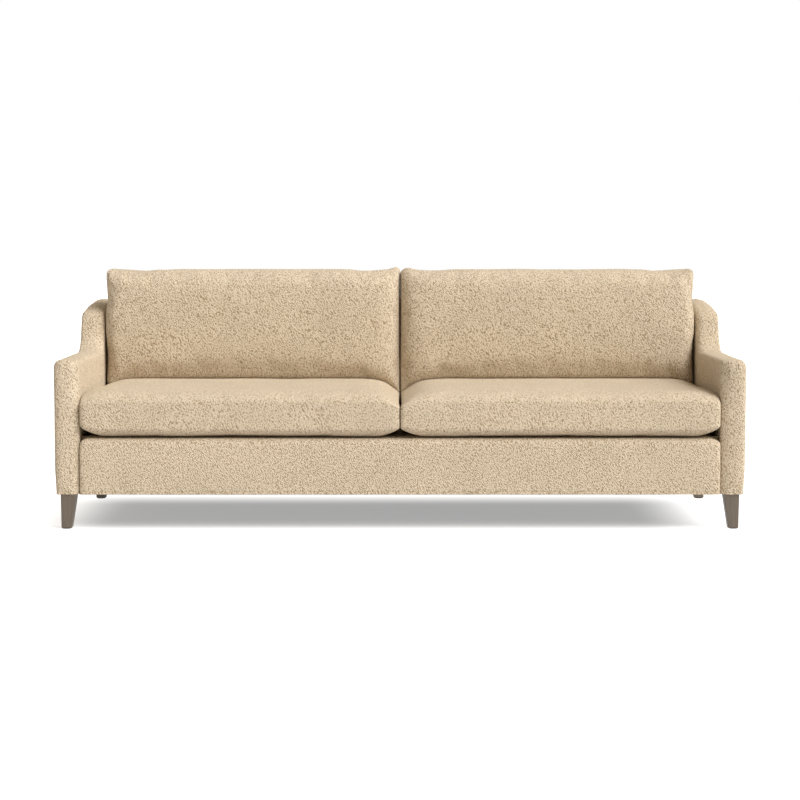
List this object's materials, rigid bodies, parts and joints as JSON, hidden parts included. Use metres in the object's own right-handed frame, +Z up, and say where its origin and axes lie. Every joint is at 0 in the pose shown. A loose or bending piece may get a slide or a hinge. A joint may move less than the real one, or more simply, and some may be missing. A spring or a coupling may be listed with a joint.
{
  "type": "sofa",
  "caption": "Long upholstered sofa with low scoop arms, loose box seat and back cushions, and short tapered wooden legs.",
  "frame": {"origin": "on the floor, under the middle of the sofa's bounding box", "axes": "+X to the right as seen from the front, along the sofa's length; +Y from the front to the back; +Z up"},
  "size_m": [2.286, 0.93, 0.86],
  "materials": {
    "upholstery_fabric": "beige looped boucle, matt",
    "cushion_foam": "foam wrapped in fibre, matt",
    "frame_wood": "raw planed hardwood",
    "leg_wood": "grey-brown stained hardwood, satin lacquer",
    "webbing": "elastic webbing, matt",
    "dust_cloth": "black non-woven dust cloth",
    "glide_nylon": "moulded nylon",
    "zip_tape": "woven tape with moulded coil",
    "zip_metal": "die-cast, satin",
    "steel": "zinc plated"
  },
  "bodies": {
    "frame": {"front_seat_rail": "frame_wood", "rear_seat_rail": "frame_wood", "side_seat_rail_left": "frame_wood", "side_seat_rail_right": "frame_wood", "seat_stretcher_1": "frame_wood", "seat_stretcher_2": "frame_wood", "seat_stretcher_3": "frame_wood", "leg_block_front_left": "frame_wood", "leg_block_front_right": "frame_wood", "leg_block_rear_left": "frame_wood", "leg_block_rear_right": "frame_wood", "arm_front_post_left": "frame_wood", "arm_front_post_right": "frame_wood", "arm_top_rail_left": "frame_wood", "arm_top_rail_right": "frame_wood", "back_post_left": "frame_wood", "back_post_right": "frame_wood", "back_centre_post": "frame_wood", "back_top_rail": "frame_wood", "back_lower_rail": "frame_wood", "seat_webbing": "webbing", "back_webbing": "webbing", "seat_deck": "upholstery_fabric", "front_apron_cover": "upholstery_fabric", "inside_back_pad": "upholstery_fabric", "outside_back_panel": "upholstery_fabric", "arm_cover_left": "upholstery_fabric", "arm_cover_right": "upholstery_fabric", "dust_cover": "dust_cloth", "leg_front_left": "leg_wood", "leg_front_right": "leg_wood", "leg_rear_left": "leg_wood", "leg_rear_right": "leg_wood", "hanger_bolt_front_left": "steel", "hanger_bolt_front_right": "steel", "hanger_bolt_rear_left": "steel", "hanger_bolt_rear_right": "steel", "glide_front_left": "glide_nylon", "glide_front_right": "glide_nylon", "glide_rear_left": "glide_nylon", "glide_rear_right": "glide_nylon"},
    "seat_cushion_left": {"seat_cushion_left_cover": "upholstery_fabric", "seat_cushion_left_core": "cushion_foam", "seat_cushion_left_zip_track": "zip_tape"},
    "seat_cushion_right": {"seat_cushion_right_cover": "upholstery_fabric", "seat_cushion_right_core": "cushion_foam", "seat_cushion_right_zip_track": "zip_tape"},
    "back_cushion_left": {"back_cushion_left_cover": "upholstery_fabric", "back_cushion_left_core": "cushion_foam", "back_cushion_left_zip_track": "zip_tape"},
    "back_cushion_right": {"back_cushion_right_cover": "upholstery_fabric", "back_cushion_right_core": "cushion_foam", "back_cushion_right_zip_track": "zip_tape"},
    "seat_zip_slider_left": {"seat_cushion_left_zip_slider": "zip_metal"},
    "seat_zip_slider_right": {"seat_cushion_right_zip_slider": "zip_metal"},
    "back_zip_slider_left": {"back_cushion_left_zip_slider": "zip_metal"},
    "back_zip_slider_right": {"back_cushion_right_zip_slider": "zip_metal"}
  },
  "joints": [
    {"name": "seat_cushion_left_lift", "type": "slide", "parent": "frame", "child": "seat_cushion_left", "axis": [0, 0, 1], "range_m": [0, 0.6]},
    {"name": "seat_cushion_right_lift", "type": "slide", "parent": "frame", "child": "seat_cushion_right", "axis": [0, 0, 1], "range_m": [0, 0.6]},
    {"name": "back_cushion_left_lift", "type": "slide", "parent": "seat_cushion_left", "child": "back_cushion_left", "axis": [0, 0, 1], "range_m": [0, 0.45]},
    {"name": "back_cushion_right_lift", "type": "slide", "parent": "seat_cushion_right", "child": "back_cushion_right", "axis": [0, 0, 1], "range_m": [0, 0.45]},
    {"name": "seat_zip_left", "type": "slide", "parent": "seat_cushion_left", "child": "seat_zip_slider_left", "axis": [1, 0, 0], "range_m": [0, 0.842]},
    {"name": "seat_zip_right", "type": "slide", "parent": "seat_cushion_right", "child": "seat_zip_slider_right", "axis": [1, 0, 0], "range_m": [0, 0.842]},
    {"name": "back_zip_left", "type": "slide", "parent": "back_cushion_left", "child": "back_zip_slider_left", "axis": [1, 0, 0], "range_m": [0, 0.842]},
    {"name": "back_zip_right", "type": "slide", "parent": "back_cushion_right", "child": "back_zip_slider_right", "axis": [1, 0, 0], "range_m": [0, 0.842]}
  ]
}
